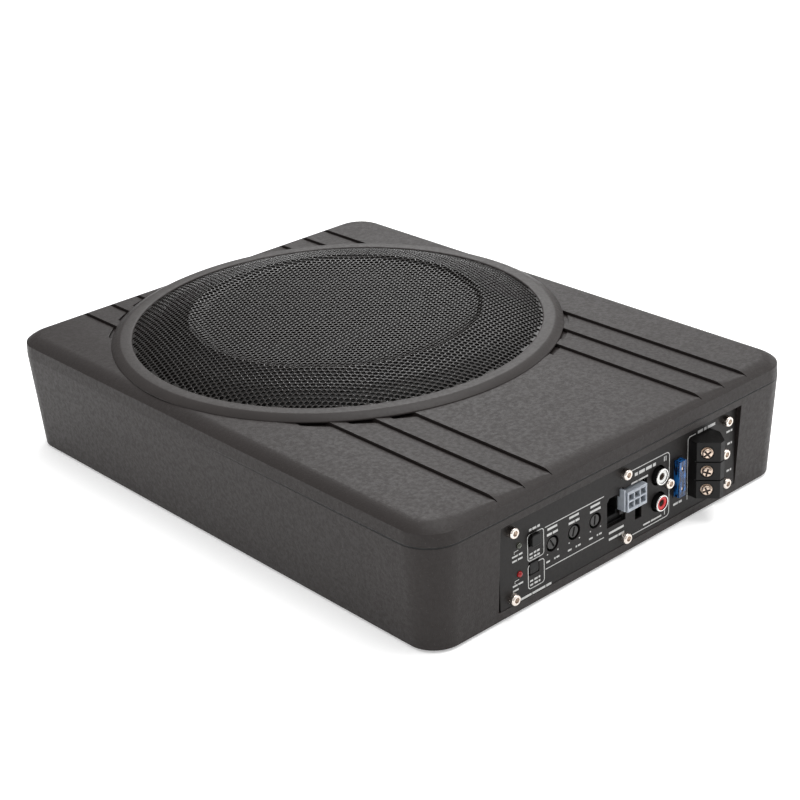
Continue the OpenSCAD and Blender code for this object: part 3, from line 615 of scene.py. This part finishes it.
class Prints:
    """White printed lines, bars and dots a hair in front of the panel, in millimetres."""

    def __init__(self):
        self.bm = bmesh.new()
        self.y = PANEL_Y - 0.04 * MM

    def face(self, points):
        self.bm.faces.new([self.bm.verts.new((x * MM, self.y, z * MM)) for x, z in points])

    def bar(self, x0, z0, x1, z1):
        self.face([(x0, z0), (x1, z0), (x1, z1), (x0, z1)])

    def ribbon(self, points, width=0.46, closed=False):
        """A line of even width along the points."""
        n = len(points)
        left, right = [], []
        for i, (x, z) in enumerate(points):
            a = points[(i - 1) % n] if closed or i > 0 else points[i]
            b = points[(i + 1) % n] if closed or i < n - 1 else points[i]
            d = Vector((b[0] - a[0], b[1] - a[1])).normalized()
            o = Vector((-d.y, d.x)) * width / 2
            left.append((x + o.x, z + o.y))
            right.append((x - o.x, z - o.y))
        for i in range(n if closed else n - 1):
            j = (i + 1) % n
            self.face([left[i], left[j], right[j], right[i]])

    def rounded(self, x0, z0, x1, z1, r=1.6, width=0.42):
        """A rounded frame."""
        left, right, foot, top = x0 + r, x1 - r, z0 + r, z1 - r
        points = []
        for i, (x, z) in enumerate(((right, top), (left, top), (left, foot), (right, foot))):
            points += quarter(x, z, r, 90 * i, 90 * i + 90)
        self.ribbon(points, width, True)

    def dot(self, x, z, r=0.38):
        turns = [k * math.pi / 6 for k in range(12)]
        self.face([(x + r * math.cos(a), z + r * math.sin(a)) for a in turns])

    def bars(self, x0, x1, z, height=1.0, parts=(1,), gap=0.55):
        """A row of plain bars that fills the place of a caption."""
        total = sum(parts)
        span = x1 - x0 - gap * (len(parts) - 1)
        x = x0
        for p in parts:
            w = span * p / total
            self.bar(x, z - height / 2, x + w, z + height / 2)
            x += w + gap


def middle(node):
    """A node's centre across the panel, as x and z in millimetres."""
    low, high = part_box(node)
    return (low.x + high.x) / 2 / MM, (low.z + high.z) / 2 / MM


def print_switches(p):
    """Frames and captions round the two buttons, and the lamps' captions with their leaders."""
    p.rounded(-62.7, 24.3, -52.3, 37.7)
    p.rounded(-62.7, 9.9, -52.3, 22.2)
    p.bars(-61.6, -54.6, 40.0, 1.2, (2, 3, 2))
    for z in (27.6, 25.6, 13.7, 11.7):
        p.bar(-61.6, z - 0.45, -59.6, z + 0.45)
        p.bars(-58.8, -55.0, z + 0.1, 1.0, (1, 1) if z > 20 else (2, 1))
    p.bars(-67.6, -47.8, 7.0, 1.2, (4, 5, 2))
    for z, w in ((30.6, (3, 2)), (28.3, (2, 2)), (15.6, (3, 3)), (13.2, (2,))):
        p.bars(-72.6, -66.0 if len(w) > 1 else -69.0, z, 0.9, w)
    for z in (33.0, 17.9):
        p.ribbon([(-68.6, z), (-71.2, z), (-71.2, z - 1.3)], 0.35)


def print_controls(p):
    """The two lines along the rotary controls, their captions and the dots at the ends of their travel."""
    for line in (37.3, 15.7):
        p.ribbon([(-51.4, line), (-12.0, line)])
    z = middle("crossover_knob")[1]
    for i, node in enumerate(("crossover_knob", "boost_knob", "gain_knob")):
        x = middle(node)[0]
        p.bars(x - 3.2, x + 3.2, 35.4 if i < 2 else 35.2, 1.2, ((3,), (4,), (5,))[i])
        p.bars(x - 3.6, x + 3.6, 32.6, 1.2, ((2, 2), (3, 2), (4,))[i])
        for side in (-1, 1):
            a = math.radians(90 + side * 142)
            p.dot(x + 5.6 * math.cos(a), z + 5.6 * math.sin(a))
        p.bars(x - 4.3, x - 1.9, 18.9, 0.9)
        p.bars(x + 0.9, x + 4.3, 18.9, 0.9, (1, 2))


def print_inputs(p):
    """Captions of the input sockets and the rounded line that holds them together."""
    p.bars(-8.6, 1.8, 16.3, 1.2, (1,))
    p.bars(-8.6, 2.2, 12.9, 1.2, (3, 2))
    p.bars(9.6, 24.6, 40.2, 1.7, (1, 2, 2, 1), 0.8)
    p.bars(7.0, 19.0, 36.3, 0.9, (2, 3))
    p.bars(15.8, 29.0, 10.7, 0.9, (2, 3))
    for x in (30.5, 31.7):
        p.bar(x, 39.2, x + 0.55, 41.8)
    p.bar(31.1, 10.2, 31.65, 12.6)
    r, right, top, foot = 2.2, 34.5, 43.1, 8.7
    p.ribbon([(7.0, top)] + quarter(right - r, top - r, r, 90, 0)
             + quarter(right - r, foot + r, r, 0, -90) + [(8.0, foot)])


def print_power(p):
    """Captions of the fuse and the terminals, and the line beside the terminal block."""
    p.bars(37.9, 44.2, 12.7, 1.2, (3, 2))
    p.ribbon([(54.0, 45.2), (49.4, 45.2), (48.2, 44.2), (48.2, 11.6)])
    p.bars(55.4, 68.6, 45.4, 1.5, (2, 1, 3), 0.8)
    for x, z in ((77.6, 37.1), (78.6, 30.3), (78.6, 15.3)):
        p.bars(x, 82.2, z, 1.1, (2, 1))


def make_prints():
    """All the panel's marks as one piece, with plain bars in the place of words."""
    p = Prints()
    print_switches(p)
    print_controls(p)
    print_inputs(p)
    print_power(p)
    obj = add("panel_prints", p.bm, 30)
    obj.data.materials.append(material("white_print"))
    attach(obj, BODY["control_panel"])


# ---- Screws, sockets and small parts ----

def island_of(first, seen):
    """Every vertex joined to the first one by edges."""
    stack, group = [first], [first]
    seen.add(first.index)
    while stack:
        for e in stack.pop().link_edges:
            for v in e.verts:
                if v.index not in seen:
                    seen.add(v.index)
                    stack.append(v)
                    group.append(v)
    return group


def islands(node):
    """The bounding boxes of a node's separate solids."""
    bm = bmesh.new()
    bm.from_mesh(frame["nodes"][node].data)
    bmesh.ops.remove_doubles(bm, verts=bm.verts, dist=2e-6)
    seen, out = set(), []
    for v in bm.verts:
        if v.index not in seen:
            group = island_of(v, seen)
            out.append((Vector([min(u.co[i] for u in group) for i in range(3)]),
                        Vector([max(u.co[i] for u in group) for i in range(3)])))
    bm.free()
    return out


def hexagon(a):
    """How far a hexagon with corners at unit distance reaches at an angle."""
    return math.cos(math.pi / 6) / math.cos(a % (math.pi / 3) - math.pi / 6)


def cap_screw(bm, low, high):
    """One screw in its bounding box, as rings from its hexagon socket round the head to the shank's end."""
    segments = 48
    turns = [2 * math.pi * k / segments for k in range(segments)]
    centre = (low + high) / 2
    r = (high.x - low.x) / 2

    def ring(depth, reaches):
        return [bm.verts.new((centre.x + q * math.cos(a), low.y + depth * MM, centre.z + q * math.sin(a)))
                for a, q in zip(turns, reaches)]

    knurled = [r * (1 - 0.02 * (k % 2)) for k in range(segments)]
    rings = [ring(0, [1.52 * MM * hexagon(a) for a in turns])]
    rings += [ring(depth, [share * r] * segments) for share, depth in ((0.80, 0.02), (0.92, 0.30))]
    rings += [ring(depth, knurled) for depth in (0.9, 3.0)]
    rings += [ring(depth, [0.55 * r] * segments) for depth in (3.1, 7.8)]
    sink = ring(1.8, [1.50 * MM * hexagon(a) for a in turns])
    # The socket's walls and floor take the second material, painted shade.
    for a, b in zip([sink] + rings, rings):
        for k in range(segments):
            j = (k + 1) % segments
            bm.faces.new((a[k], a[j], b[j], b[k])).material_index = 1 if a is sink else 0
    bm.faces.new(sink).material_index = 1
    bm.faces.new(list(reversed(rings[-1])))


def make_cap_screws():
    """Hexagon socket cap screws with a knurled head and a chamfered rim, and painted shade in the socket."""
    bm = bmesh.new()
    for low, high in islands("panel_screws"):
        cap_screw(bm, low, high)
    screws = place(add("panel_screws_fine", bm, 35), "panel_screws")
    # The second material is painted shade for the sockets.
    screws.data.materials.append(material("painted_socket_shade"))


def make_small_parts():
    """The panel's fittings, screws, feet and plate, with their edges rounded."""
    for node, width in ROUNDING.items():
        refined(node, width * MM)


def make_phono_sides():
    """The phono sockets' metal barrel sides take black nylon, a painted dark reflection, so that only their
    front rims stay bright.
    """
    obj = bpy.data.objects["rca_shells_fine"]
    obj.data.materials.append(material("black_nylon"))
    for p in obj.data.polygons:
        if abs(p.normal.y) < 0.3:
            p.material_index = 1


def screw_axis(i):
    """Where a terminal screw's axis passes, and its direction out of the block."""
    for joint in frame["record"]["behaviour"]["joints"]:
        if joint["name"] == f"screw_{i}_turn":
            return Vector(joint["pos_m"]), Vector(joint["axis"])


def make_terminal_slots():
    """The cross slots of the terminal screws, with painted shade on their walls and floors."""
    for i in (1, 2, 3):
        obj = bpy.data.objects[f"terminal_screw_{i}_fine"]
        obj.data.materials.append(material("painted_socket_shade"))
        at, out = screw_axis(i)
        for p in obj.data.polygons:
            c = Vector(p.center) - at
            facing = p.normal.dot(out)
            height = c.dot(out)
            reach = (c - out * height).length
            wall = abs(facing) < 0.3 and height > 0.55 * MM
            floor = facing > 0.9 and 0.2 * MM < height < 0.7 * MM
            # Slot walls and floors get painted shade.
            if reach < 2.3 * MM and (wall or floor):
                p.material_index = 1


def contact_leaf(bm, at, start):
    """One leaf, bent inwards as it goes into the socket; at is the centre of the socket's mouth."""
    bend = [(1.56, 0.9), (1.25, 1.5), (0.95, 2.3), (0.85, 3.4)]
    columns = []
    for k in range(7):
        a = math.radians(start + 78 * k / 6)
        columns.append([bm.verts.new(at + Vector((r * math.cos(a), depth, r * math.sin(a))) * MM)
                        for r, depth in bend])
    for u, v in zip(columns, columns[1:]):
        for k in range(len(bend) - 1):
            bm.faces.new((u[k], u[k + 1], v[k + 1], v[k]))


def make_contact_leaves():
    """Four bent leaves inside each phono socket's middle contact."""
    low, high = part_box("rca_contacts")
    bm = bmesh.new()
    for insulator in ("rca_insulator_upper", "rca_insulator_lower"):
        front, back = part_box(insulator)
        at = Vector(((low.x + high.x) / 2, front.y, (front.z + back.z) / 2))
        for q in range(4):
            contact_leaf(bm, at, 90 * q + 6)
    obj = add("contact_leaves", bm, 50)
    solid = obj.modifiers.new("thickness", "SOLIDIFY")
    solid.thickness = 0.1 * MM
    # The leaves take the contacts' look, painted shade.
    place(obj, "rca_contacts", replaces=False)


def make_test_points():
    """The ends of the fuse's blades, seen in its two windows."""
    low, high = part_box("fuse_body")
    centre = (low + high) / 2
    size = Matrix.Diagonal((1.5 * MM, 0.9 * MM, 1.7 * MM, 1))
    bm = bmesh.new()
    for side in (-1, 1):
        at = Matrix.Translation((centre.x, low.y + 0.95 * MM, centre.z + side * 5.4 * MM))
        bmesh.ops.create_cube(bm, size=1, matrix=at @ size)
    place(add("fuse_test_points", bm, 30), "fuse_blades", replaces=False)


def dress_the_rest():
    """The CAD nodes that are shown as they are get their materials."""
    for name, node in frame["nodes"].items():
        if node.hide_render:
            continue
        node.data.materials.clear()
        node.data.materials.append(material(SLOT[name]))


# ---- Stage, light and camera ----

def make_floor():
    """A wide sheet of pale paper, slightly lit from within so that it stays white."""
    half = 6.0
    bm = bmesh.new()
    for x, y in ((-half, -half), (half, -half), (half, half), (-half, half)):
        bm.verts.new((x, y, 0))
    bm.faces.new(bm.verts)
    floor = add("floor", bm)
    n = Nodes("floor_paper")
    n.put("Base Color", n.ramp(n.noise(3, 3), (0.93, 0.93, 0.93), (0.95, 0.95, 0.95)))
    n.put("Roughness", 0.9)
    n.put("Specular IOR Level", 0.1)
    n.bsdf.inputs["Emission Color"].default_value = (1, 1, 1, 1)
    n.put("Emission Strength", 0.34)
    floor.data.materials.append(n.mat)


def make_world():
    """A white studio that is dim at the horizon and bright overhead."""
    world = bpy.data.worlds.new("studio")
    world.use_nodes = True
    tree = world.node_tree
    coord = tree.nodes.new("ShaderNodeTexCoord")
    xyz = tree.nodes.new("ShaderNodeSeparateXYZ")
    height = tree.nodes.new("ShaderNodeMapRange")
    height.interpolation_type = "SMOOTHSTEP"
    for key, v in (("From Min", 0.05), ("From Max", 0.9), ("To Min", 0.22), ("To Max", 1.0)):
        height.inputs[key].default_value = v
    tree.links.new(coord.outputs["Generated"], xyz.inputs[0])
    tree.links.new(xyz.outputs["Z"], height.inputs["Value"])
    tree.links.new(height.outputs["Result"], tree.nodes["Background"].inputs["Strength"])
    tree.nodes["Background"].inputs["Color"].default_value = (1, 1, 1, 1)
    bpy.context.scene.world = world


def area_light(name, at, target, size, power, size_y=None):
    """A soft panel of light, turned to its target."""
    light = bpy.data.lights.new(name, "AREA")
    light.energy = power
    light.shape = "RECTANGLE"
    light.size = size
    light.size_y = size_y or size
    obj = bpy.data.objects.new(name, light)
    bpy.context.scene.collection.objects.link(obj)
    obj.location = at
    obj.rotation_mode = "QUATERNION"
    obj.rotation_quaternion = (Vector(target) - Vector(at)).to_track_quat("-Z", "Y")


def make_lights():
    """One broad light overhead, one behind for gloss, a small one for sparkle, and three fills."""
    area_light("overhead", (0.4, -0.3, 1.8), (0, 0, 0.05), 1.2, 20)
    area_light("key", (1.25, 1.05, 1.0), (0, 0, 0.05), 1.1, 6.6, 0.8)
    area_light("glint", (0.80, 0.88, 1.0), (0, 0, 0.07), 0.16, 2.0)
    area_light("left", (-1.7, -0.2, 0.7), (0, 0, 0.03), 1.4, 4.2)
    area_light("right", (1.8, -0.1, 0.5), (0, 0, 0.03), 0.8, 3)
    area_light("front", (1.1, -1.0, 0.55), (0.1, -0.17, 0.03), 0.8, 3.4)


def make_camera():
    """The photograph's viewpoint."""
    az, el, roll = (math.radians(v) for v in (CAMERA_AZIMUTH, CAMERA_ELEVATION, CAMERA_ROLL))
    back = Vector((math.sin(az) * math.cos(el), -math.cos(az) * math.cos(el), math.sin(el)))
    right = Vector((math.cos(az), math.sin(az), 0))
    up = back.cross(right)
    r = right * math.cos(roll) + up * math.sin(roll)
    u = up * math.cos(roll) - right * math.sin(roll)
    data = bpy.data.cameras.new("camera")
    data.sensor_width = 36
    data.lens = CAMERA_LENS
    data.shift_x, data.shift_y = CAMERA_SHIFT
    data.clip_start = 0.05
    data.clip_end = 50
    cam = bpy.data.objects.new("camera", data)
    bpy.context.scene.collection.objects.link(cam)
    at = Vector(CAMERA_TARGET) + r * CAMERA_OFFSET[0] + u * CAMERA_OFFSET[1] + back * CAMERA_DISTANCE
    cam.matrix_world = Matrix.Translation(at) @ Matrix((r, u, back)).transposed().to_4x4()
    bpy.context.scene.camera = cam


make_enclosure()
make_ring()
make_grille()
make_prints()
make_cap_screws()
make_small_parts()
make_phono_sides()
make_terminal_slots()
make_contact_leaves()
make_test_points()
dress_the_rest()
make_floor()
make_world()
make_lights()
make_camera()
bpy.context.scene.view_settings.view_transform = "Standard"
